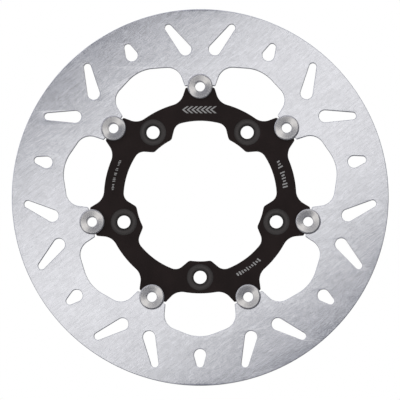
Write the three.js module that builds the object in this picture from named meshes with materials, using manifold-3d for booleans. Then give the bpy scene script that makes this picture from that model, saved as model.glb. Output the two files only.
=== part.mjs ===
// Floating brake disc rotor for the front wheel of a motorcycle.
//
// A flat steel friction ring is carried by an aluminium carrier, which bolts to the wheel hub.
// Seven hollow bobbins sit in half-round notches shared by the two, and drive the ring while
// leaving it a little axial float. Behind the disc each bobbin carries a flat washer and a wave
// washer, and a circlip in a groove keeps them on.
//
// The disc is drawn flat, with z along the wheel's axle and the outer (seen) face towards +z, and
// then stood upright: the axle lies along Y, the outer face looks towards -Y and +Z is up. The
// origin is on the axle, midway between the bobbins' two ends. Millimetres.

import * as THREE from 'three';
import { mergeVertices } from 'three/addons/utils/BufferGeometryUtils.js';
import Module from 'manifold-3d';

// ---- Driving dimensions -------------------------------------------------------------------

const DISC_THICKNESS = 5;
const FACET_ERROR = 0.08; // how far a round edge's facets may stray from the true arc
const GAP = 0.3; // running clearance between neighbouring pieces
const OVERRUN = 1; // how far a cutter, or a pad being joined, runs past a face

// Stations: the bobbins start at the top, the bolts at the bottom.
const BOBBIN_COUNT = 7;
const BOBBIN_START = Math.PI / 2;
const BOBBIN_CIRCLE_RADIUS = 88.2;
const BOLT_COUNT = 5;
const BOLT_START = -Math.PI / 2;
const BOLT_CIRCLE_RADIUS = 63.8;

// Friction ring. Along is the distance from the axle on a station's radial line, across the
// distance to either side of that line.
const RING_RADIUS = 150;
const RING_FACETS = 112;
const TAB_END = 88.7;
const TAB_CORNER = { across: 11.6, radius: 0.8 };
const WINDOW_SHOULDER = { along: 93.6, across: 16.3, radius: 12 };
const WINDOW_CROWN = { along: 80.7, radius: 30 };
const LONG_SLOT_ROOT = { along: 117.9, across: 11.8, radius: 4.9 };
const LONG_SLOT_TIP = { along: 135, across: 25.2, radius: 2.9 };
const SHORT_SLOT_ROOT = { along: 125.6, across: 0, radius: 4.8 };
const SHORT_SLOT_TIP = { along: 132.6, across: 0, radius: 2.9 };

// Carrier.
const CARRIER_RIM_RADIUS = 76.6;
const EAR_END = 87.3;
const EAR_TIP = { across: 10.4, radius: 1.5 };
const EAR_FILLET_RADIUS = 12;
const EAR_FILLET_ANGLE = THREE.MathUtils.degToRad(9.45); // from the middle of the rim's arc
const INNER_RADIUS = 61; // between the bosses
const PILOT_RADIUS = 51.2; // at the bosses, where the hub's spigot centres the rotor
const BOSS_CORNER_RADIUS = 3.5;
const BOSS_CORNER_ANGLE = THREE.MathUtils.degToRad(7.85); // from the bolt's radial line
const BOSS_FILLET_RADIUS = 8;
const BOSS_FILLET_ANGLE = THREE.MathUtils.degToRad(21.6);
const BOLT_HOLE_RADIUS = 5.25;
const BOLT_HOLE_CHAMFER = 0.5;
const SPOT_FACE = { radius: 10.4, depth: 0.4 };
const HUB_PAD = { radius: 11, height: 1.2 };
const BOLT_FACETS = 24;

// Bobbin.
const BOBBIN_FACETS = 20;
const FLANGE = { radius: 10, thickness: 1.7, chamfer: 1 };
const BARREL_RADIUS = 7.5;
const BARREL_END_LAND = 0.8; // what is left of the barrel behind the circlip's groove
const BOBBIN_BORE_RADIUS = 4;
const BOBBIN_COUNTERSINK = { radius: 4.6, depth: 0.5 };
const GROOVE_RADIUS = 6.8;

// Washers and circlip.
const WASHER = { bore: 7.9, radius: 10, thickness: 1 };
const WAVE = { bore: 7.9, radius: 9.8, thickness: 0.4, rise: 0.3, count: 3 };
const WAVE_FACETS = 24; // eight to a wave
const CIRCLIP = { bore: 7.1, radius: 8.9, thickness: 1 };
const CIRCLIP_LUG = { along: 8.8, across: 3.2, radius: 1.6, hole: 0.7 };
const LUG_HOLE_FACETS = 8;

// ---- Heights along the axle, worked out from the sizes above --------------------------------

const OUTER_FACE = DISC_THICKNESS / 2;
const INNER_FACE = -DISC_THICKNESS / 2;
const FLANGE_BACK = OUTER_FACE + GAP;
const FLANGE_FRONT = FLANGE_BACK + FLANGE.thickness;
const WASHER_FRONT = INNER_FACE - GAP;
const WAVE_FRONT = WASHER_FRONT - WASHER.thickness - GAP;
const WAVE_HEIGHT = WAVE.thickness + 2 * WAVE.rise;
const CIRCLIP_FRONT = WAVE_FRONT - WAVE_HEIGHT - GAP;
const GROOVE_FRONT = CIRCLIP_FRONT + GAP;
const GROOVE_BACK = CIRCLIP_FRONT - CIRCLIP.thickness - GAP;
const BARREL_END = GROOVE_BACK - BARREL_END_LAND;
const MIDDLE = (FLANGE_FRONT + BARREL_END) / 2;

// ---- Outlines -------------------------------------------------------------------------------

const wasm = await Module();
wasm.setup();

// The place that is `along` a radial line at `angle`, and `across` it, anticlockwise.
function place(angle, along, across) {
  return new THREE.Vector2(along, across).rotateAround(new THREE.Vector2(), angle);
}

// A rounded corner of an outline. Its turn is 1 where the outline goes anticlockwise round it
// and -1 where it goes clockwise.
function corner(angle, { along = 0, across = 0, radius = 0 }, turn) {
  return { centre: place(angle, along, across), radius, turn };
}

// The heading of the straight run that leaves one corner and meets the next as a tangent.
function tangentHeading(from, to) {
  const span = to.centre.clone().sub(from.centre);
  const lean = (from.turn * from.radius - to.turn * to.radius) / span.length();
  return span.angle() + Math.asin(THREE.MathUtils.clamp(lean, -1, 1));
}

// The points on a corner's arc, from the heading it is met at and through its sweep.
function arcPoints({ centre, radius, turn }, arriving, sweep) {
  const widestStep = radius > 0 ? 2 * Math.acos(Math.max(0, 1 - FACET_ERROR / radius)) : Infinity;
  const steps = Math.max(1, Math.ceil(sweep / widestStep));
  const points = [];
  for (let i = 0; i <= steps; i += 1) {
    const heading = arriving + (turn * sweep * i) / steps;
    const spoke = new THREE.Vector2(Math.sin(heading), -Math.cos(heading));
    points.push(spoke.multiplyScalar(turn * radius).add(centre));
  }
  return points;
}

// The closed outline that goes round each corner and along the tangent to the next one.
function outline(corners) {
  const points = corners.flatMap((here, i) => {
    const arriving = tangentHeading(corners.at(i - 1), here);
    const leaving = tangentHeading(here, corners[(i + 1) % corners.length]);
    const sweep = THREE.MathUtils.euclideanModulo(here.turn * (leaving - arriving), 2 * Math.PI);
    return arcPoints(here, arriving, sweep);
  });
  return points.filter((point, i) => point.distanceTo(points.at(i - 1)) > 0.001);
}

// A full circle whose vertices fall on its own x and y axes when facets is a multiple of 4.
function circle(centre, radius, facets) {
  return Array.from({ length: facets }, (_, i) => {
    return place((2 * Math.PI * i) / facets, radius, 0).add(centre);
  });
}

function stationAngles(count, start) {
  return Array.from({ length: count }, (_, i) => start + (2 * Math.PI * i) / count);
}

// The three corners of a bobbin's notch, cut in an end that is `end` from the axle.
function notch(angle, end, turn) {
  const radius = BARREL_RADIUS + GAP;
  const across = Math.sqrt(radius ** 2 - (end - BOBBIN_CIRCLE_RADIUS) ** 2);
  return [
    corner(angle, { along: end, across: -across }, 1),
    corner(angle, { along: BOBBIN_CIRCLE_RADIUS, radius }, turn),
    corner(angle, { along: end, across }, 1),
  ];
}

// The same corner on the other side of its radial line.
function mirrored(spec) {
  return { ...spec, across: -spec.across };
}

// ---- Solids ---------------------------------------------------------------------------------

function plate(outer, holes, thickness) {
  const shape = new THREE.Shape(outer);
  shape.holes = holes.map((points) => new THREE.Path(points));
  return new THREE.ExtrudeGeometry(shape, { depth: thickness, bevelEnabled: false });
}

// Turns a closed profile of [radius, height] points about the z axis.
function turned(profile, facets) {
  const points = [...profile, profile[0]].map(([radius, height]) => new THREE.Vector2(radius, height));
  return new THREE.LatheGeometry(points, facets).rotateX(Math.PI / 2);
}

function toSolid(geometry) {
  const bare = geometry.clone();
  bare.deleteAttribute('normal');
  bare.deleteAttribute('uv');
  const merged = mergeVertices(bare, 1e-4);
  return new wasm.Manifold(new wasm.Mesh({
    numProp: 3,
    vertProperties: new Float32Array(merged.attributes.position.array),
    triVerts: new Uint32Array(merged.index.array),
  }));
}

function toGeometry(solid) {
  const mesh = solid.getMesh();
  const geometry = new THREE.BufferGeometry();
  geometry.setAttribute('position', new THREE.Float32BufferAttribute(mesh.vertProperties, 3));
  geometry.setIndex(Array.from(mesh.triVerts));
  geometry.computeVertexNormals();
  return geometry;
}

function frictionRing() {
  const bobbinAngles = stationAngles(BOBBIN_COUNT, BOBBIN_START);
  const halfPitch = Math.PI / BOBBIN_COUNT;
  const tabCorner = { ...TAB_CORNER, along: TAB_END + TAB_CORNER.radius };
  const inner = outline(bobbinAngles.flatMap((angle) => [
    corner(angle, mirrored(tabCorner), -1),
    ...notch(angle, TAB_END, 1),
    corner(angle, tabCorner, -1),
    corner(angle + halfPitch, mirrored(WINDOW_SHOULDER), 1),
    corner(angle + halfPitch, WINDOW_CROWN, 1),
    corner(angle + halfPitch, WINDOW_SHOULDER, 1),
  ]));
  const slots = bobbinAngles.flatMap((angle) => [
    outline([corner(angle, LONG_SLOT_ROOT, 1), corner(angle, LONG_SLOT_TIP, 1)]),
    outline([corner(angle, mirrored(LONG_SLOT_ROOT), 1), corner(angle, mirrored(LONG_SLOT_TIP), 1)]),
    outline([
      corner(angle + halfPitch, SHORT_SLOT_ROOT, 1),
      corner(angle + halfPitch, SHORT_SLOT_TIP, 1),
    ]),
  ]);
  const rim = circle(new THREE.Vector2(), RING_RADIUS, RING_FACETS);
  return plate(rim, [inner, ...slots], DISC_THICKNESS).translate(0, 0, INNER_FACE);
}

function carrierOutline() {
  const filletAlong = CARRIER_RIM_RADIUS + EAR_FILLET_RADIUS;
  const fillet = { along: filletAlong, radius: EAR_FILLET_RADIUS };
  const earTip = { ...EAR_TIP, along: EAR_END - EAR_TIP.radius };
  return outline(stationAngles(BOBBIN_COUNT, BOBBIN_START).flatMap((angle) => {
    const middle = angle + Math.PI / BOBBIN_COUNT;
    return [
      corner(angle, mirrored(earTip), 1),
      ...notch(angle, EAR_END, -1),
      corner(angle, earTip, 1),
      corner(middle - EAR_FILLET_ANGLE, fillet, -1),
      corner(middle, { radius: CARRIER_RIM_RADIUS }, 1),
      corner(middle + EAR_FILLET_ANGLE, fillet, -1),
    ];
  }));
}

function hubOpening() {
  const bossCorner = { along: PILOT_RADIUS + BOSS_CORNER_RADIUS, radius: BOSS_CORNER_RADIUS };
  const fillet = { along: INNER_RADIUS - BOSS_FILLET_RADIUS, radius: BOSS_FILLET_RADIUS };
  return outline(stationAngles(BOLT_COUNT, BOLT_START).flatMap((angle) => [
    corner(angle - BOSS_CORNER_ANGLE, bossCorner, -1),
    corner(angle, { radius: PILOT_RADIUS }, 1),
    corner(angle + BOSS_CORNER_ANGLE, bossCorner, -1),
    corner(angle + BOSS_FILLET_ANGLE, fillet, 1),
    corner(angle, { radius: INNER_RADIUS }, 1),
    corner(angle + (2 * Math.PI) / BOLT_COUNT - BOSS_FILLET_ANGLE, fillet, 1),
  ]));
}

function carrier() {
  const sheet = plate(carrierOutline(), [hubOpening()], DISC_THICKNESS).translate(0, 0, INNER_FACE);
  const padBack = INNER_FACE - HUB_PAD.height;
  const padFront = INNER_FACE + OVERRUN;
  const spotFloor = OUTER_FACE - SPOT_FACE.depth;
  const chamferFoot = spotFloor - BOLT_HOLE_CHAMFER;
  const pad = turned([
    [0, padBack],
    [HUB_PAD.radius, padBack],
    [HUB_PAD.radius, padFront],
    [0, padFront],
  ], BOLT_FACETS);
  const boltCutter = turned([
    [0, padBack - OVERRUN],
    [BOLT_HOLE_RADIUS, padBack - OVERRUN],
    [BOLT_HOLE_RADIUS, chamferFoot],
    [BOLT_HOLE_RADIUS + BOLT_HOLE_CHAMFER, spotFloor],
    [SPOT_FACE.radius, spotFloor],
    [SPOT_FACE.radius, OUTER_FACE + OVERRUN],
    [0, OUTER_FACE + OVERRUN],
  ], BOLT_FACETS);
  let solid = toSolid(sheet);
  for (const angle of stationAngles(BOLT_COUNT, BOLT_START)) {
    const { x, y } = place(angle, BOLT_CIRCLE_RADIUS, 0);
    solid = solid.add(toSolid(pad.clone().translate(x, y, 0)));
    solid = solid.subtract(toSolid(boltCutter.clone().translate(x, y, 0)));
  }
  return toGeometry(solid);
}

function bobbin() {
  return turned([
    [BOBBIN_BORE_RADIUS, BARREL_END],
    [BARREL_RADIUS, BARREL_END],
    [BARREL_RADIUS, GROOVE_BACK],
    [GROOVE_RADIUS, GROOVE_BACK],
    [GROOVE_RADIUS, GROOVE_FRONT],
    [BARREL_RADIUS, GROOVE_FRONT],
    [BARREL_RADIUS, FLANGE_BACK],
    [FLANGE.radius, FLANGE_BACK],
    [FLANGE.radius, FLANGE_FRONT - FLANGE.chamfer],
    [FLANGE.radius - FLANGE.chamfer, FLANGE_FRONT],
    [BOBBIN_COUNTERSINK.radius, FLANGE_FRONT],
    [BOBBIN_BORE_RADIUS, FLANGE_FRONT - BOBBIN_COUNTERSINK.depth],
  ], BOBBIN_FACETS);
}

function flatRing({ bore, radius, thickness }, front, facets) {
  return turned([
    [bore, front - thickness],
    [radius, front - thickness],
    [radius, front],
    [bore, front],
  ], facets);
}

// A thin ring pressed into gentle waves, which lie evenly round it.
function waveWasher() {
  const geometry = flatRing(WAVE, WAVE_FRONT - WAVE.rise, WAVE_FACETS);
  const { position } = geometry.attributes;
  for (let i = 0; i < position.count; i += 1) {
    const angle = Math.atan2(position.getY(i), position.getX(i));
    position.setZ(i, position.getZ(i) + WAVE.rise * Math.cos(WAVE.count * angle));
  }
  return geometry;
}

// An open ring with a drilled lug at each end.
function circlip() {
  const clip = outline([
    corner(0, CIRCLIP_LUG, 1),
    corner(0, { radius: CIRCLIP.radius }, 1),
    corner(0, mirrored(CIRCLIP_LUG), 1),
    corner(0, { radius: CIRCLIP.bore }, -1),
  ]);
  const holes = [-1, 1].map((side) => {
    const centre = place(0, CIRCLIP_LUG.along, side * CIRCLIP_LUG.across);
    return circle(centre, CIRCLIP_LUG.hole, LUG_HOLE_FACETS);
  });
  return plate(clip, holes, CIRCLIP.thickness).translate(0, 0, CIRCLIP_FRONT - CIRCLIP.thickness);
}

// ---- Materials ------------------------------------------------------------------------------

function groundSteel() {
  return new THREE.MeshStandardMaterial({ color: 0xcdccd2, roughness: 0.38, metalness: 1 });
}

function blackAnodised() {
  return new THREE.MeshStandardMaterial({ color: 0x1d1b1b, roughness: 0.5, metalness: 0.4 });
}

function turnedSteel() {
  return new THREE.MeshStandardMaterial({ color: 0xb4b4b6, roughness: 0.3, metalness: 1 });
}

function springSteel() {
  return new THREE.MeshStandardMaterial({ color: 0x6c6c70, roughness: 0.42, metalness: 1 });
}

// ---- Assembly -------------------------------------------------------------------------------

function piece(name, geometry, material) {
  const mesh = new THREE.Mesh(geometry, material);
  mesh.name = name;
  return mesh;
}

// A bobbin with what it carries, turned so that the circlip opens away from the axle.
function bobbinStation(angle, number) {
  const station = new THREE.Group();
  station.add(piece(`bobbin_${number}`, bobbin(), turnedSteel()));
  const washer = flatRing(WASHER, WASHER_FRONT, BOBBIN_FACETS);
  station.add(piece(`flat_washer_${number}`, washer, turnedSteel()));
  station.add(piece(`wave_washer_${number}`, waveWasher(), springSteel()));
  station.add(piece(`circlip_${number}`, circlip(), springSteel()));
  const { x, y } = place(angle, BOBBIN_CIRCLE_RADIUS, 0);
  station.position.set(x, y, 0);
  station.rotation.z = angle;
  return station;
}

const disc = new THREE.Group();
disc.add(piece('friction_ring', frictionRing(), groundSteel()));
disc.add(piece('carrier', carrier(), blackAnodised()));
stationAngles(BOBBIN_COUNT, BOBBIN_START).forEach((angle, i) => {
  disc.add(bobbinStation(angle, i + 1));
});
disc.position.z = -MIDDLE;

const rotor = new THREE.Group();
rotor.add(disc);
rotor.rotation.x = Math.PI / 2;

export default rotor;
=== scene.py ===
import math
import random

import bmesh
import bpy
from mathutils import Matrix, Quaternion, Vector
from mathutils.geometry import tessellate_polygon

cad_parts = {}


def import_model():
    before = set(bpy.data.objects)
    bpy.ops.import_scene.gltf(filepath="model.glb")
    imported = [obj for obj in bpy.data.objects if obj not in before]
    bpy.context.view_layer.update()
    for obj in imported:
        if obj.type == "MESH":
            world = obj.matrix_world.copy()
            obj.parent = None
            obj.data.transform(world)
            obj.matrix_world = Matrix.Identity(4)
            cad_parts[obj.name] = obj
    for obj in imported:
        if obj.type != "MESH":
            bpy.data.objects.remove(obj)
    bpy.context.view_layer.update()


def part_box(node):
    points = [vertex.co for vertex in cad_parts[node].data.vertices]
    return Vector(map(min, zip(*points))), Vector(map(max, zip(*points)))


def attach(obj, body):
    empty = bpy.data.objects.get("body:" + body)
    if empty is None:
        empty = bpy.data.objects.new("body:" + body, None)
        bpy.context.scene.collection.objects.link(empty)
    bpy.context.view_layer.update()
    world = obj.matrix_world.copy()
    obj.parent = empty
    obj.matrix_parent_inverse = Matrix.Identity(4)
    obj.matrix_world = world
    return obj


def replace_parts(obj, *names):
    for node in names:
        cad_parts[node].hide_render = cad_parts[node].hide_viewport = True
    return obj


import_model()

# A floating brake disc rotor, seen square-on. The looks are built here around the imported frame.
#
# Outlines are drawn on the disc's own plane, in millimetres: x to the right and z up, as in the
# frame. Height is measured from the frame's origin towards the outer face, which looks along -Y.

MM = 0.001

# ---- Sizes taken from the frame -----------------------------------------------------------------


def across(node):
    """A round node's radius, and how far its middle is from the axle, in millimetres."""
    low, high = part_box(node)
    return (high.x - low.x) / 2 / MM, (high.z + low.z) / 2 / MM


def heights(node):
    """A node's outer and inner heights, in millimetres."""
    low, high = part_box(node)
    return -low.y / MM, -high.y / MM


def box_size(node):
    """A node's extents along X, Y and Z, in millimetres."""
    low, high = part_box(node)
    return tuple((high - low) / MM)


RING_RADIUS = across("friction_ring")[0]
OUTER_FACE, INNER_FACE = heights("friction_ring")
HUB_PAD_BACK = heights("carrier")[1]
FLANGE_RADIUS, BOBBIN_CIRCLE = across("bobbin_1")
FLANGE_FRONT, BARREL_END = heights("bobbin_1")
WASHER_RADIUS = across("flat_washer_1")[0]
WASHER_FRONT, WASHER_BACK = heights("flat_washer_1")
WAVE_RADIUS = across("wave_washer_1")[0]
WAVE_FRONT, WAVE_BACK = heights("wave_washer_1")
CLIP_FRONT, CLIP_BACK = heights("circlip_1")

# ---- Sizes of the pieces, in millimetres --------------------------------------------------------

ARC_ERROR = 0.004  # how far a round edge's chords may stray from the true arc
SHORTEST_CHORD = 0.002
MERGE_DISTANCE = 0.0005
GAP = 0.3  # between faces that touch on the real rotor

BOBBIN_COUNT = 7
BOBBIN_START = math.pi / 2
BOLT_COUNT = 5
BOLT_START = -math.pi / 2
BOLT_CIRCLE = 63.8

TAB_END = 88.7
TAB_CORNER = {"across": 11.6, "radius": 0.8}
WINDOW_SHOULDER = {"along": 93.6, "across": 16.3, "radius": 12}
WINDOW_CROWN = {"along": 80.7, "radius": 30}
LONG_SLOT = (
    {"along": 117.9, "across": 11.8, "radius": 4.9},
    {"along": 135, "across": 25.2, "radius": 2.9},
)
SHORT_SLOT = ({"along": 125.6, "radius": 4.8}, {"along": 132.6, "radius": 2.9})

CARRIER_RIM = 76.6
EAR_END = 87.3
EAR_TIP = {"across": 10.4, "radius": 1.5}
EAR_FILLET = 12
EAR_FILLET_ANGLE = math.radians(9.45)
INNER_RADIUS = 61
PILOT_RADIUS = 51.2
BOSS_CORNER = 3.5
BOSS_CORNER_ANGLE = math.radians(7.85)
BOSS_FILLET = 8
BOSS_FILLET_ANGLE = math.radians(21.6)
BOLT_HOLE = 5.25
BOLT_CHAMFER = 0.5
SPOT_FACE = 10.4
SPOT_DEPTH = 0.4
HUB_PAD = 11

BARREL = 7.5
GROOVE = 6.8
BORE = 4
FLANGE_BACK = OUTER_FACE + GAP
FLANGE_EDGE = 1.35
FLANGE_DROP = 0.9
FLANGE_DISH = 0.42
WASHER_BORE = 7.9
WAVE_THICKNESS = 0.4
WAVES = 3
CLIP_RADIUS = 8.9
CLIP_BORE = 7.1
CLIP_LUG = {"along": 8.8, "across": 3.2, "radius": 1.6}
LUG_HOLE = 0.7

# How far the edges are rounded or bevelled
RIM_EDGE = 0.52
HOLE_EDGE = 0.48
CARRIER_EDGE = 0.3
SPOT_EDGE = 0.12
PAD_EDGE = 0.25
BORE_EDGE = 0.5
TURNED_EDGE = 0.12
WASHER_EDGE = 0.18
CLIP_EDGE = 0.12
END_CHAMFER = 0.5

TURNED_FACETS = 96
WAVE_FACETS = 32  # for each wave
LUG_HOLE_FACETS = 32
SHARP_ANGLE = math.radians(40)

# ---- Outlines -----------------------------------------------------------------------------------


def place(angle, along, aside=0.0):
    """The point that is along a radial line, and aside from it anticlockwise."""
    c, s = math.cos(angle), math.sin(angle)
    return Vector((along * c - aside * s, along * s + aside * c))


def corner(angle, spec, turn, mirror=1):
    """A rounded corner of an outline: turn is 1 where the outline goes anticlockwise round it."""
    centre = place(angle, spec.get("along", 0), mirror * spec.get("across", 0))
    return centre, spec.get("radius", 0), turn


def tangent_heading(start, end):
    """The heading of the straight run that leaves one corner and meets the next as a tangent."""
    span = end[0] - start[0]
    lean = (start[2] * start[1] - end[2] * end[1]) / span.length
    return math.atan2(span.y, span.x) + math.asin(max(-1, min(1, lean)))


def arc_points(centre, radius, turn, arriving, sweep):
    """Points along a corner's arc, from the heading it is reached at, through an angle of sweep."""
    step = 2 * math.acos(1 - ARC_ERROR / radius) if radius > 0 else math.tau
    count = max(1, math.ceil(sweep / step))
    points = []
    for i in range(count + 1):
        heading = arriving + turn * sweep * i / count
        points.append(centre + turn * radius * Vector((math.sin(heading), -math.cos(heading))))
    return points


def outline(corners):
    """The closed outline that goes round each corner and along the tangent to the next one."""
    points = []
    for i, here in enumerate(corners):
        arriving = tangent_heading(corners[i - 1], here)
        leaving = tangent_heading(here, corners[(i + 1) % len(corners)])
        sweep = here[2] * (leaving - arriving) % math.tau
        points += arc_points(*here, arriving, sweep)
    return [p for i, p in enumerate(points) if (p - points[i - 1]).length > SHORTEST_CHORD]


def chord_count(radius):
    """How many chords a full circle takes, a multiple of 4."""
    return 4 * math.ceil(math.tau / (2 * math.acos(1 - ARC_ERROR / radius)) / 4)


def circle(centre, radius, count):
    return [centre + place(math.tau * i / count, radius) for i in range(count)]


def stations(count, start):
    """The angles of things that are spread evenly round the axle."""
    return [start + math.tau * i / count for i in range(count)]


def notch(angle, end, turn):
    """The corners of a bobbin's half-round notch, cut in an end that is end from the axle."""
    radius = BARREL + GAP
    half = math.sqrt(radius**2 - (end - BOBBIN_CIRCLE) ** 2)
    return [
        corner(angle, {"along": end, "across": -half}, 1),
        corner(angle, {"along": BOBBIN_CIRCLE, "radius": radius}, turn),
        corner(angle, {"along": end, "across": half}, 1),
    ]


def ring_inner_outline():
    tab = dict(TAB_CORNER, along=TAB_END + TAB_CORNER["radius"])
    corners = []
    for angle in stations(BOBBIN_COUNT, BOBBIN_START):
        middle = angle + math.pi / BOBBIN_COUNT
        corners += [corner(angle, tab, -1, -1), *notch(angle, TAB_END, 1), corner(angle, tab, -1)]
        corners += [corner(middle, WINDOW_SHOULDER, 1, -1), corner(middle, WINDOW_CROWN, 1)]
        corners += [corner(middle, WINDOW_SHOULDER, 1)]
    return outline(corners)


def slot_outlines():
    outlines = []
    for angle in stations(BOBBIN_COUNT, BOBBIN_START):
        middle = angle + math.pi / BOBBIN_COUNT
        for mirror in (1, -1):
            outlines.append(outline([corner(angle, end, 1, mirror) for end in LONG_SLOT]))
        outlines.append(outline([corner(middle, end, 1) for end in SHORT_SLOT]))
    return outlines


def carrier_outline():
    tip = dict(EAR_TIP, along=EAR_END - EAR_TIP["radius"])
    fillet = {"along": CARRIER_RIM + EAR_FILLET, "radius": EAR_FILLET}
    corners = []
    for angle in stations(BOBBIN_COUNT, BOBBIN_START):
        middle = angle + math.pi / BOBBIN_COUNT
        corners += [corner(angle, tip, 1, -1), *notch(angle, EAR_END, -1), corner(angle, tip, 1)]
        corners += [corner(middle - EAR_FILLET_ANGLE, fillet, -1)]
        corners += [corner(middle, {"radius": CARRIER_RIM}, 1)]
        corners += [corner(middle + EAR_FILLET_ANGLE, fillet, -1)]
    return outline(corners)


def hub_opening():
    boss = {"along": PILOT_RADIUS + BOSS_CORNER, "radius": BOSS_CORNER}
    fillet = {"along": INNER_RADIUS - BOSS_FILLET, "radius": BOSS_FILLET}
    corners = []
    for angle in stations(BOLT_COUNT, BOLT_START):
        following = angle + math.tau / BOLT_COUNT
        corners += [corner(angle - BOSS_CORNER_ANGLE, boss, -1)]
        corners += [corner(angle, {"radius": PILOT_RADIUS}, 1)]
        corners += [corner(angle + BOSS_CORNER_ANGLE, boss, -1)]
        corners += [corner(angle + BOSS_FILLET_ANGLE, fillet, 1)]
        corners += [corner(angle, {"radius": INNER_RADIUS}, 1)]
        corners += [corner(following - BOSS_FILLET_ANGLE, fillet, 1)]
    return outline(corners)


# ---- Mesh building ------------------------------------------------------------------------------


def inset(points, depth, side):
    """Moves an outline off itself: to its left where side is 1, and to its right where it is -1."""
    moved = []
    for i, point in enumerate(points):
        before = (point - points[i - 1]).normalized()
        after = (points[(i + 1) % len(points)] - point).normalized()
        normal = Vector((-before.y - after.y, before.x + after.x))
        moved.append(point + side * depth * normal / (1 + before.dot(after)))
    return moved


class Skin:
    """The closed skin of one piece, made of bands and caps between loops of vertices."""

    def __init__(self):
        self.mesh = bmesh.new()
        self.slot = 0

    def loop(self, points, height):
        """A loop of vertices at one height, or at a height of its own for each point."""
        steps = height if isinstance(height, list) else [height] * len(points)
        return [self.mesh.verts.new((p.x, -h, p.y)) for p, h in zip(points, steps)]

    def face(self, corners):
        self.mesh.faces.new(corners).material_index = self.slot

    def band(self, first, second):
        for i in range(len(first)):
            self.face((first[i - 1], first[i], second[i], second[i - 1]))

    def bands(self, loops):
        for first, second in zip(loops, loops[1:]):
            self.band(first, second)
        return loops[0], loops[-1]

    def cap(self, loops):
        """Fills between an outer loop and the loops of its holes, where there are any."""
        vertices = [v for loop in loops for v in loop]
        flat = [[Vector((v.co.x, v.co.z, 0)) for v in loop] for loop in loops]
        for triangle in tessellate_polygon(flat):
            self.face([vertices[i] for i in triangle])

    def wall(self, points, side, front, back, edge, cut=0):
        """A wall along an outline, with its two edges rounded. Returns its front and back loops.
        cut is the material slot of the straight part of the wall."""
        rounds = [math.radians(a) for a in (0, 30, 60, 90)]
        depths = [edge * (1 - math.sin(a)) for a in rounds]
        drops = [edge * (1 - math.cos(a)) for a in rounds]
        fore = [self.loop(inset(points, d, side), front - h) for d, h in zip(depths, drops)]
        aft = [self.loop(inset(points, d, side), back + h) for d, h in zip(depths, drops)]
        self.slot = cut
        self.band(fore[-1], aft[-1])
        self.slot = 0
        self.bands(fore)
        self.bands(aft)
        return fore[0], aft[0]

    def turned(self, centre, profile, count, close=True):
        """A surface turned about an axle at centre, from a profile of (radius, height) points.
        Returns its first and last loops."""
        loops = [self.loop(circle(centre, radius, count), height) for radius, height in profile]
        return self.bands(loops + loops[:1] if close else loops)

    def piece(self, name, body, slot, *materials):
        """Ends the mesh, gives it its materials and lets it ride on a body."""
        bmesh.ops.scale(self.mesh, vec=(MM, MM, MM), verts=self.mesh.verts)
        bmesh.ops.recalc_face_normals(self.mesh, faces=self.mesh.faces)
        data = bpy.data.meshes.new(name)
        self.mesh.to_mesh(data)
        self.mesh.free()
        for polygon in data.polygons:
            polygon.use_smooth = True
        data.set_sharp_from_angle(angle=SHARP_ANGLE)
        for material in materials:
            data.materials.append(material)
        obj = bpy.data.objects.new(name, data)
        bpy.context.scene.collection.objects.link(obj)
        weighted = obj.modifiers.new("flat_faces", "WEIGHTED_NORMAL")
        weighted.keep_sharp = True
        weighted.weight = 100
        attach(obj, body)
        return obj


def rounded(profile, edge, closed=True):
    """Rounds every corner of a profile with three points. An open profile keeps its two ends."""
    points = []
    for i, here in enumerate(profile):
        here = Vector(here)
        if not closed and i in (0, len(profile) - 1):
            points.append(here)
            continue
        before = Vector(profile[i - 1]) - here
        after = Vector(profile[(i + 1) % len(profile)]) - here
        reach = min(edge, before.length / 2.5, after.length / 2.5)
        start, end = here + before.normalized() * reach, here + after.normalized() * reach
        points += [start, (start + end) / 4 + here / 2, end]
    return points


# ---- Materials ----------------------------------------------------------------------------------


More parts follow.
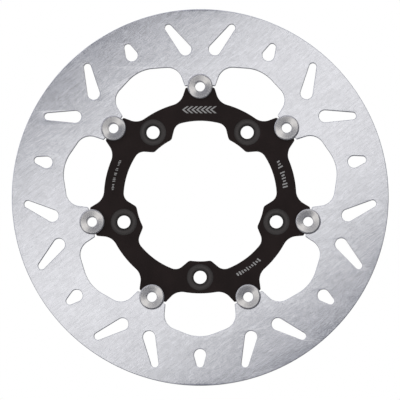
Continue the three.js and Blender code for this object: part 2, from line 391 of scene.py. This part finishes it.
class Graph:
    """Writes the node graph of a material or of the world."""

    def __init__(self, tree):
        self.tree = tree
        tree.nodes.clear()

    def node(self, kind, inputs=(), output=0, **settings):
        node = self.tree.nodes.new("ShaderNode" + kind)
        for key, value in settings.items():
            setattr(node, key, value)
        for key, value in dict(inputs).items():
            if isinstance(value, bpy.types.NodeSocket):
                self.tree.links.new(value, node.inputs[key])
            else:
                node.inputs[key].default_value = value
        return node.outputs[output]

    def math(self, operation, first, second=0.0):
        return self.node("Math", {0: first, 1: second}, operation=operation)

    def vector(self, operation, first, second):
        return self.node("VectorMath", {0: first, 1: second}, operation=operation)

    def length(self, vector):
        return self.node("VectorMath", {0: vector}, output=1, operation="LENGTH")

    def dot(self, first, second):
        return self.node("VectorMath", {0: first, 1: second}, output=1, operation="DOT_PRODUCT")

    def stretch(self, vector, scale):
        return self.vector("MULTIPLY", vector, scale)

    def noise(self, vector, scale=1.0, detail=2.0, rough=0.5, distortion=0.0):
        inputs = {"Vector": vector, "Scale": scale, "Detail": detail, "Roughness": rough}
        return self.node("TexNoise", {**inputs, "Distortion": distortion})

    def ramp(self, value, low, high, to_low, to_high):
        inputs = {0: value, 1: low, 2: high, 3: to_low, 4: to_high}
        return self.node("MapRange", inputs)

    def vary(self, noise, to_low, to_high):
        """Spreads the usual range of a noise over another range."""
        return self.ramp(noise, 0.3, 0.7, to_low, to_high)

    def mix(self, factor, first, second):
        inputs = {0: factor, 6: first, 7: second}
        return self.node("Mix", inputs, output=2, data_type="RGBA")

    def tint(self, colour, factor):
        """A colour made lighter or darker by a factor that varies over the surface."""
        return self.node("VectorMath", {0: colour, "Scale": factor}, operation="SCALE")

    def from_middle(self, size):
        """Where a point lies on the piece, in millimetres from its middle."""
        generated = self.node("TexCoord")
        return self.stretch(self.vector("SUBTRACT", generated, (0.5, 0.5, 0.5)), size)

    def in_frame(self, node):
        """Where a point lies in the frame, in millimetres, on a piece that fills that node's box."""
        low = tuple(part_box(node)[0] / MM)
        return self.vector("ADD", self.stretch(self.node("TexCoord"), box_size(node)), low)

    def bump(self, height, depth):
        """Surface relief that is depth millimetres deep."""
        return self.node("Bump", {"Height": height, "Distance": depth * MM, "Strength": 1.0})

    def surface(self, **inputs):
        """Ends a material's graph in the surface that has these inputs."""
        named = {key.replace("_", " "): value for key, value in inputs.items()}
        self.end("Material", self.node("BsdfPrincipled", named))

    def end(self, kind, result):
        output = self.tree.nodes.new("ShaderNodeOutput" + kind)
        self.tree.links.new(result, output.inputs["Surface"])


def material(name):
    """A new material, and the graph that its surface is written in."""
    made = bpy.data.materials.new(name)
    made.use_nodes = True
    return made, Graph(made.node_tree)


GRAIN_ANGLE = math.radians(37)
STEEL = (0.595, 0.60, 0.675)
CUT_STEEL = (0.28, 0.272, 0.27)
TURNED_STEEL = (0.50, 0.49, 0.52)
PLATED_STEEL = (0.42, 0.42, 0.43)
SPRING_STEEL = (0.11, 0.11, 0.118)
BLACK = (0.0172, 0.0108, 0.0106)
SEAT_BLACK = (0.0455, 0.0400, 0.0400)
MARK_GREY = (0.36, 0.35, 0.35)


def ground_steel():
    """Flat-ground stainless steel: straight fine lines and coarser streaks, all one way."""
    made, g = material("ground_steel")
    at = g.from_middle(box_size("friction_ring"))
    along = g.node("VectorRotate", {"Vector": at, "Angle": GRAIN_ANGLE}, rotation_type="Y_AXIS")
    fine = g.noise(g.stretch(along, (0.10, 1.0, 5.0)), detail=3.0, rough=0.6)
    streaks = g.noise(g.stretch(along, (0.11, 1.0, 0.75)), detail=2.0, rough=0.6, distortion=0.8)
    mottle = g.noise(at, scale=0.28, detail=3.0, rough=0.6)
    cloud = g.noise(at, scale=0.02, detail=2.0)
    grain = g.math("ADD", g.math("MULTIPLY", fine, 0.6), g.math("MULTIPLY", streaks, 0.4))
    lines = g.vary(fine, 0.93, 1.07)
    bands = g.vary(streaks, 0.90, 1.10)
    blots = g.math("MULTIPLY", g.vary(mottle, 0.95, 1.05), g.vary(cloud, 0.97, 1.03))
    colour = g.tint(STEEL, g.math("MULTIPLY", g.math("MULTIPLY", lines, bands), blots))
    g.surface(
        Base_Color=colour,
        Metallic=1.0,
        Roughness=g.vary(grain, 0.18, 0.24),
        Anisotropic=0.4,
        Tangent=(-math.sin(GRAIN_ANGLE), 0.0, math.cos(GRAIN_ANGLE)),
        Normal=g.bump(grain, 0.025),
    )
    return made


def cut_steel():
    """The ring's sawn and drilled walls: duller, with marks that run through the thickness."""
    made, g = material("cut_steel")
    at = g.from_middle(box_size("friction_ring"))
    marks = g.noise(g.stretch(at, (4.0, 0.15, 4.0)), detail=3.0)
    g.surface(
        Base_Color=g.tint(CUT_STEEL, g.vary(marks, 0.8, 1.2)),
        Metallic=1.0,
        Roughness=g.vary(marks, 0.42, 0.56),
        Normal=g.bump(marks, 0.03),
    )
    return made


def turned_metal(name, node, colour, low_rough, high_rough, lines_per_mm, contrast):
    """Metal turned on a lathe: fine rings about the piece's own middle."""
    made, g = material(name)
    at = g.from_middle(box_size(node))
    flat = g.stretch(at, (1.0, 0.0, 1.0))
    radius = g.length(flat)
    depth = g.node("SeparateXYZ", {0: at}, output=1)
    across_rings = g.node("CombineXYZ", {0: radius, 1: depth})
    rings = g.noise(across_rings, scale=lines_per_mm, detail=3.0, rough=0.65)
    smudge = g.noise(at, scale=0.35, detail=2.0)
    shade = g.math("MULTIPLY", g.vary(rings, 1 - contrast, 1 + contrast),
                   g.vary(smudge, 0.95, 1.05))
    g.surface(
        Base_Color=g.tint(colour, shade),
        Metallic=1.0,
        Roughness=g.vary(rings, low_rough, high_rough),
        Anisotropic=0.9,
        Anisotropic_Rotation=0.25,
        Tangent=g.node("Tangent", direction_type="RADIAL", axis="Y"),
        Normal=g.bump(rings, 0.006),
    )
    return made


def black_anodised():
    """Black anodised aluminium: near black, satin, with the milled grain just showing."""
    made, g = material("black_anodised")
    at = g.from_middle(box_size("carrier"))
    grain = g.noise(at, scale=2.2, detail=3.0, rough=0.65)
    cloud = g.noise(at, scale=0.06, detail=2.0)
    shade = g.math("MULTIPLY", g.vary(grain, 0.75, 1.3), g.vary(cloud, 0.85, 1.15))
    g.surface(
        Base_Color=g.tint(BLACK, shade),
        Roughness=g.vary(grain, 0.42, 0.56),
        Specular_IOR_Level=0.12,
        Normal=g.bump(grain, 0.015),
    )
    return made


def spot_faced():
    """The seats milled round the bolt holes: greyer than the plate, with rings from the cutter. Their
    colour also carries painted shade, darker by the bolt hole and towards the seat's wall, and a painted
    highlight band between.
    """
    made, g = material("spot_faced")
    at = g.in_frame("carrier")
    x, z = (g.node("SeparateXYZ", {0: at}, output=i) for i in (0, 2))
    radius = g.length(g.node("CombineXYZ", {0: x, 1: z}))
    turn = g.math("SUBTRACT", g.math("ARCTAN2", z, x), BOLT_START)
    half = math.pi / BOLT_COUNT
    turn = g.node("Math", {0: turn, 1: half, 2: -half}, operation="WRAP")
    along = g.math("SUBTRACT", g.math("MULTIPLY", radius, g.math("COSINE", turn)), BOLT_CIRCLE)
    aside = g.math("MULTIPLY", radius, g.math("SINE", turn))
    off = g.length(g.node("CombineXYZ", {0: along, 1: aside}))
    across_rings = g.node("CombineXYZ", {0: off, 1: g.math("MULTIPLY", turn, 2.0)})
    rings = g.noise(across_rings, scale=2.2, detail=3.0)
    speckle = g.noise(at, scale=1.1, detail=3.0, rough=0.7)
    # Painted shade and highlight: darker by the bolt hole and towards the seat's wall, lightest in a
    # band between.
    painted_shading = g.math("SUBTRACT", g.ramp(off, 6.0, 7.7, 0.40, 1.27), g.ramp(off, 8.4, 10.4, 0.0, 0.5))
    marked = g.math("MULTIPLY", g.vary(rings, 0.8, 1.2), g.vary(speckle, 0.8, 1.2))
    g.surface(
        Base_Color=g.tint(SEAT_BLACK, g.math("MULTIPLY", painted_shading, marked)),
        Roughness=g.vary(rings, 0.38, 0.5),
        Specular_IOR_Level=0.2,
        Normal=g.bump(rings, 0.012),
    )
    return made


def etched():
    """Marks burnt through the anodising by a laser: pale grey, matt and a little uneven."""
    made, g = material("etched")
    at = g.node("TexCoord")
    speckle = g.noise(at, scale=30.0, detail=2.0)
    g.surface(
        Base_Color=g.tint(MARK_GREY, g.vary(speckle, 0.7, 1.15)),
        Roughness=g.vary(speckle, 0.55, 0.75),
        Normal=g.bump(speckle, 0.005),
    )
    return made


def spring_steel():
    """Phosphated spring steel: dark grey, even, faintly mottled."""
    made, g = material("spring_steel")
    at = g.from_middle(box_size("circlip_1"))
    mottle = g.noise(at, scale=1.6, detail=3.0)
    g.surface(
        Base_Color=g.tint(SPRING_STEEL, g.vary(mottle, 0.75, 1.25)),
        Metallic=1.0,
        Roughness=g.vary(mottle, 0.34, 0.46),
        Normal=g.bump(mottle, 0.01),
    )
    return made


# ---- Pieces -------------------------------------------------------------------------------------


def friction_ring():
    skin = Skin()
    rim = circle(Vector((0, 0)), RING_RADIUS, chord_count(RING_RADIUS))
    walls = [skin.wall(rim, 1, OUTER_FACE, INNER_FACE, RIM_EDGE, cut=1)]
    for points in [ring_inner_outline(), *slot_outlines()]:
        walls.append(skin.wall(points, -1, OUTER_FACE, INNER_FACE, HOLE_EDGE, cut=1))
    skin.cap([front for front, back in walls])
    skin.cap([back for front, back in walls])
    ring = skin.piece("ring_plate", "ring", "ground_steel", ground_steel(), cut_steel())
    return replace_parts(ring, "friction_ring")


def carrier():
    skin = Skin()
    outer = skin.wall(carrier_outline(), 1, OUTER_FACE, INNER_FACE, CARRIER_EDGE)
    opening = skin.wall(hub_opening(), -1, OUTER_FACE, INNER_FACE, CARRIER_EDGE)
    spot_floor = OUTER_FACE - SPOT_DEPTH
    bolts = []
    for angle in stations(BOLT_COUNT, BOLT_START):
        centre = place(angle, BOLT_CIRCLE)
        skin.slot = 1
        seat = skin.turned(centre, [
            (SPOT_FACE + SPOT_EDGE, OUTER_FACE), (SPOT_FACE, OUTER_FACE - SPOT_EDGE),
            (SPOT_FACE, spot_floor + SPOT_EDGE), (SPOT_FACE - SPOT_EDGE, spot_floor),
            (BOLT_HOLE + BOLT_CHAMFER, spot_floor),
        ], TURNED_FACETS, close=False)
        skin.slot = 0
        hole = skin.turned(centre, [
            (BOLT_HOLE + BOLT_CHAMFER, spot_floor), (BOLT_HOLE, spot_floor - BOLT_CHAMFER),
            (BOLT_HOLE, HUB_PAD_BACK + BOLT_CHAMFER), (BOLT_HOLE + BOLT_CHAMFER, HUB_PAD_BACK),
            (HUB_PAD - PAD_EDGE, HUB_PAD_BACK), (HUB_PAD, HUB_PAD_BACK + PAD_EDGE),
            (HUB_PAD, INNER_FACE),
        ], TURNED_FACETS, close=False)
        bolts.append((seat[0], hole[1]))
    skin.cap([outer[0], opening[0]] + [front for front, back in bolts])
    skin.cap([outer[1], opening[1]] + [back for front, back in bolts])
    bmesh.ops.remove_doubles(skin.mesh, verts=skin.mesh.verts, dist=MERGE_DISTANCE)
    plate = skin.piece("carrier_plate", "carrier", "black_anodised", black_anodised(), spot_faced())
    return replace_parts(plate, "carrier")


def bobbin(number, centre, body, metal):
    groove_front, groove_back = CLIP_FRONT + GAP, CLIP_BACK - GAP
    dish = FLANGE_FRONT - FLANGE_DISH
    profile = rounded([
        (BORE, dish - BORE_EDGE), (BORE, BARREL_END + END_CHAMFER), (BORE + END_CHAMFER, BARREL_END),
        (BARREL - END_CHAMFER, BARREL_END), (BARREL, BARREL_END + END_CHAMFER), (BARREL, groove_back),
        (GROOVE, groove_back), (GROOVE, groove_front), (BARREL, groove_front), (BARREL, FLANGE_BACK),
        (FLANGE_RADIUS, FLANGE_BACK), (FLANGE_RADIUS, FLANGE_FRONT - FLANGE_DROP),
    ], TURNED_EDGE, closed=False)
    for angle in (math.radians(a) for a in range(15, 91, 15)):
        inward, drop = 1 - math.cos(angle), 1 - math.sin(angle)
        profile.append(Vector((FLANGE_RADIUS - FLANGE_EDGE * inward, FLANGE_FRONT - FLANGE_DROP * drop)))
    for angle in (math.radians(a) for a in (0, 30, 60)):
        outward, drop = 1 - math.sin(angle), 1 - math.cos(angle)
        profile.append(Vector((BORE + BORE_EDGE * outward, dish - BORE_EDGE * drop)))
    skin = Skin()
    skin.turned(centre, profile, TURNED_FACETS)
    obj = skin.piece(f"bobbin_body_{number}", body, "turned_steel", metal)
    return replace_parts(obj, f"bobbin_{number}")


def flat_washer(number, centre, body, metal):
    skin = Skin()
    profile = [(WASHER_BORE, WASHER_BACK), (WASHER_RADIUS, WASHER_BACK),
               (WASHER_RADIUS, WASHER_FRONT), (WASHER_BORE, WASHER_FRONT)]
    skin.turned(centre, rounded(profile, WASHER_EDGE), TURNED_FACETS)
    obj = skin.piece(f"washer_{number}", body, "washer_steel", metal)
    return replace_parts(obj, f"flat_washer_{number}")


def wave_washer(number, centre, body, angle, metal):
    skin = Skin()
    count = WAVE_FACETS * WAVES
    rise = (WAVE_FRONT - WAVE_BACK - WAVE_THICKNESS) / 2
    middle = (WAVE_FRONT + WAVE_BACK) / 2
    half = WAVE_THICKNESS / 2
    profile = [(WASHER_BORE, -half), (WAVE_RADIUS, -half), (WAVE_RADIUS, half), (WASHER_BORE, half)]
    loops = []
    for radius, height in rounded(profile, TURNED_EDGE):
        points = [centre + place(angle + math.tau * i / count, radius) for i in range(count)]
        waves = [middle + height + rise * math.cos(math.tau * WAVES * i / count) for i in range(count)]
        loops.append(skin.loop(points, waves))
    skin.bands(loops + loops[:1])
    obj = skin.piece(f"wave_spring_{number}", body, "spring_steel", metal)
    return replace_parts(obj, f"wave_washer_{number}")


def circlip(number, centre, body, angle, metal):
    skin = Skin()
    lug = [corner(angle, CLIP_LUG, 1, side) for side in (1, -1)]
    outer = corner(angle, {"radius": CLIP_RADIUS}, 1)
    bore = corner(angle, {"radius": CLIP_BORE}, -1)
    points = [centre + p for p in outline([lug[0], outer, lug[1], bore])]
    walls = [skin.wall(points, 1, CLIP_FRONT, CLIP_BACK, CLIP_EDGE)]
    for side in (1, -1):
        hole = centre + place(angle, CLIP_LUG["along"], side * CLIP_LUG["across"])
        points = circle(hole, LUG_HOLE, LUG_HOLE_FACETS)
        walls.append(skin.wall(points, -1, CLIP_FRONT, CLIP_BACK, CLIP_EDGE))
    skin.cap([front for front, back in walls])
    skin.cap([back for front, back in walls])
    obj = skin.piece(f"clip_{number}", body, "spring_steel", metal)
    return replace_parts(obj, f"circlip_{number}")


def bobbin_stations():
    turned = turned_metal("turned_steel", "bobbin_1", TURNED_STEEL, 0.20, 0.26, 3.0, 0.12)
    plated = turned_metal("plated_steel", "flat_washer_1", PLATED_STEEL, 0.30, 0.42, 4.0, 0.08)
    sprung = spring_steel()
    for i, angle in enumerate(stations(BOBBIN_COUNT, BOBBIN_START)):
        number, body = i + 1, f"bobbin_{i + 1}"
        centre = place(angle, BOBBIN_CIRCLE)
        bobbin(number, centre, body, turned)
        flat_washer(number, centre, body, plated)
        wave_washer(number, centre, body, angle, sprung)
        circlip(number, centre, body, angle, sprung)


# ---- Etched marks -------------------------------------------------------------------------------

MARK_TOP = OUTER_FACE + 0.02
MARK_FOOT = OUTER_FACE - 0.02
MARK_SEED = 3
CHEVRON_COUNT = 7
CHEVRON_PITCH = 3.7
CHEVRON_RADIUS = 69.6
CHEVRON_ASIDE = 1.4  # where the middle one is
CHEVRON_HEIGHT = 5.6
CHEVRON_STROKE = 1.8
# Rows of bars: where each starts and ends, in degrees, and how many bars are in each group
TICK_ROWS = {
    "tick_row_right": {"start": 25.2, "end": 5.8, "radius": 68.3, "height": 4.0, "groups": (3, 6)},
    "tick_row_foot": {"start": -46, "end": -65, "radius": 68.5, "height": 3.2, "groups": (10,)},
    "tick_row_left": {
        "start": 155, "end": 175.5, "radius": 69.8, "height": 2.1, "groups": (4, 2, 2, 3, 4),
    },
}


def marks(name, polygons, metal):
    """Thin prisms that stand just proud of the carrier's outer face, as one piece."""
    skin = Skin()
    for points in polygons:
        top, foot = skin.loop(points, MARK_TOP), skin.loop(points, MARK_FOOT)
        skin.cap([top])
        skin.cap([foot])
        skin.band(top, foot)
    skin.piece(name, "carrier", "black_anodised", metal)


def chevron(angle, radius, aside, height, stroke):
    """An arrow head that points along the rim."""
    tip, half = height / 3, height / 2
    points = [(half, aside - tip), (0, aside + tip), (-half, aside - tip),
              (-half, aside - tip - stroke), (0, aside + tip - stroke), (half, aside - tip - stroke)]
    return [place(angle, radius + along, tangent) for along, tangent in points]


def bar(angle, radius, width, height, lean):
    """A short upright bar across the plate, leaning along the rim."""
    up, half = height / 2, width / 2
    points = [(-up, -half - lean), (-up, half - lean), (up, half + lean), (up, -half + lean)]
    return [place(angle, radius + along, tangent) for along, tangent in points]


def tick_row(name, start, end, radius, height, groups, metal):
    """A row of bars in groups, round the plate, with a bar's place left empty between groups."""
    places = sum(groups) + len(groups) - 1
    pitch = math.radians(abs(end - start)) * radius / places
    bars, used = [], 0
    for group in groups:
        for i in range(used, used + group):
            angle = math.radians(start + (end - start) * (i + 0.5) / places)
            tall = height * random.choice((0.6, 0.8, 1.0))
            bars.append(bar(angle, radius, pitch * random.uniform(0.4, 0.6), tall, pitch * 0.12))
        used += group + 1
    marks(name, bars, metal)


def etched_marks():
    """Generic marks where the real carrier has lettering."""
    pale = etched()
    chevrons = []
    for i in range(CHEVRON_COUNT):
        aside = CHEVRON_ASIDE + CHEVRON_PITCH * (i - (CHEVRON_COUNT - 1) / 2)
        chevrons.append(chevron(math.pi / 2, CHEVRON_RADIUS, aside, CHEVRON_HEIGHT, CHEVRON_STROKE))
    marks("arrow_row", chevrons, pale)
    random.seed(MARK_SEED)
    for name, spec in TICK_ROWS.items():
        tick_row(name, metal=pale, **spec)


# ---- Stage, light and camera --------------------------------------------------------------------

SKY_SIDE = 122  # the bright side's direction on the disc's plane, in degrees
SKY_BRIGHT = 0.95
SKY_AROUND = 0.45
SKY_SHADED = 0.22
SKY_FRONT = 0.165  # what the outer face mirrors when it is seen square-on
SKY_BEHIND = 0.5
FRONT_COLOUR = (0.68, 0.77, 1.0, 1)
AROUND_COLOUR = (0.96, 0.975, 1.0, 1)
STRIP_COLOUR = (1.0, 0.98, 0.87)
STRIP_SIZE = (2.0, 0.345)
STRIPS = {
    "strip_outside": {"location": (-0.036, -1.2, 0.061), "power": 2.8},
    "strip_inside": {"location": (0.3, 1.2, 0.25), "power": 2.0},
}
FLOOR_RADIUS = 6
FLOOR_HEIGHT = -0.34
CAMERA_DISTANCE = 4.0
CAMERA_ASIDE = math.radians(1.7)  # how far it stands to the right of the disc's own axle line
CAMERA_BELOW = math.radians(2.9)
VIEW_WIDTH = 0.3182
VIEW_MIDDLE = -0.00237  # the height at the middle of the picture


def floor():
    bpy.ops.mesh.primitive_circle_add(vertices=128, radius=FLOOR_RADIUS, fill_type="NGON",
                                      location=(0, 0, FLOOR_HEIGHT))
    obj = bpy.context.object
    obj.name = "floor"
    made, g = material("pale_floor")
    g.surface(Base_Color=(0.86, 0.86, 0.86, 1), Roughness=0.9)
    obj.data.materials.append(made)
    obj.visible_glossy = False


def world():
    """White to the camera. To everything else, a soft sky: dim in front of the outer face, even
    behind the rotor, and between them brightest from up and to the left."""
    sky = bpy.data.worlds.new("studio")
    bpy.context.scene.world = sky
    sky.use_nodes = True
    g = Graph(sky.node_tree)
    heading = g.node("TexCoord")
    side = math.radians(SKY_SIDE)
    lean = g.dot(heading, (math.cos(side), 0, math.sin(side)))
    outward = g.dot(heading, (0, -1, 0))
    front = g.node("MapRange", {0: outward, 1: 0.8, 2: 0.93}, interpolation_type="SMOOTHSTEP")
    bright = g.ramp(lean, 0.2, 0.55, 0.0, SKY_BRIGHT - SKY_AROUND)
    around = g.math("ADD", bright, g.ramp(lean, -0.5, -0.1, SKY_SHADED, SKY_AROUND))
    behind = g.node("MapRange", {0: outward, 1: -0.2, 2: -0.6, 3: around, 4: SKY_BEHIND})
    level = g.node("MapRange", {0: front, 3: behind, 4: SKY_FRONT})
    seen = g.node("LightPath")  # 1 for a camera ray
    strength = g.node("MapRange", {0: seen, 3: level, 4: 1.0})
    colour = g.mix(seen, g.mix(front, AROUND_COLOUR, FRONT_COLOUR), (1, 1, 1, 1))
    background = g.node("Background", {"Color": colour, "Strength": strength})
    g.end("World", background)


def strip_light(name, location, power):
    """A soft, long light that looks at the rotor's middle. On the rotor's outer side it runs in
    line with the ring's grain."""
    data = bpy.data.lights.new(name, "AREA")
    data.shape = "RECTANGLE"
    data.size, data.size_y = STRIP_SIZE
    data.energy = power
    data.color = STRIP_COLOUR
    obj = bpy.data.objects.new(name, data)
    bpy.context.scene.collection.objects.link(obj)
    obj.location = location
    obj.rotation_mode = "QUATERNION"
    aim = (-Vector(location)).to_track_quat("-Z", "Y")
    obj.rotation_quaternion = aim @ Quaternion((0, 0, 1), GRAIN_ANGLE)
    obj.visible_camera = False


def camera():
    aside, below = CAMERA_ASIDE, CAMERA_BELOW
    level = math.cos(below)
    back = Vector((math.sin(aside) * level, -math.cos(aside) * level, -math.sin(below)))
    target = Vector((0, -OUTER_FACE * MM, VIEW_MIDDLE))
    data = bpy.data.cameras.new("camera")
    data.lens = data.sensor_width * CAMERA_DISTANCE / VIEW_WIDTH
    data.clip_end = 50
    obj = bpy.data.objects.new("camera", data)
    bpy.context.scene.collection.objects.link(obj)
    obj.location = target + back * CAMERA_DISTANCE
    obj.rotation_mode = "QUATERNION"
    obj.rotation_quaternion = (-back).to_track_quat("-Z", "Y")
    bpy.context.scene.camera = obj


camera()
world()
for strip, spec in STRIPS.items():
    strip_light(strip, **spec)
floor()
friction_ring()
carrier()
bobbin_stations()
etched_marks()

bpy.context.scene.view_settings.view_transform = "Standard"
